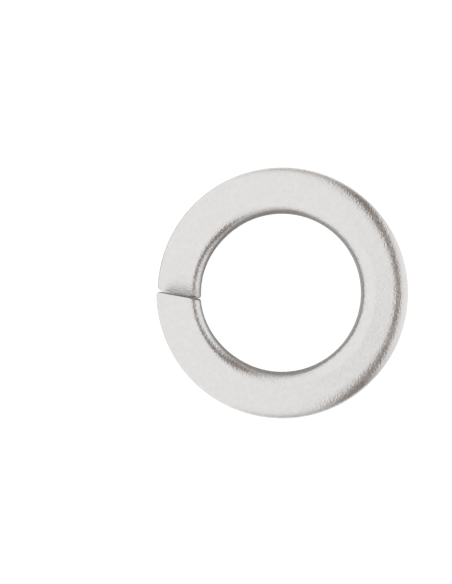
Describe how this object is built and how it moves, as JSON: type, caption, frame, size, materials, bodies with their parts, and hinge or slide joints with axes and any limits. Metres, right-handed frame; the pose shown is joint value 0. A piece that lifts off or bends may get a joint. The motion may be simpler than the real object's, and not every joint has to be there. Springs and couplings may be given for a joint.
{
  "type": "spring lock washer",
  "caption": "Split helical spring lock washer with a keystone section, rolled upper edges and plain slanted ends, in satin steel.",
  "frame": {"origin": "on the axis of the bore, level with the lowest point of the coil's lower end", "axes": "+Z along the axis of the bore, towards the coil's upper end; -X towards the cut between the two ends"},
  "size_m": [0.0384, 0.0384, 0.0103],
  "materials": {
    "steel": "tumbled satin, fine grain, no direction"
  },
  "bodies": {
    "root": {"lock_washer": "steel"}
  },
  "joints": []
}
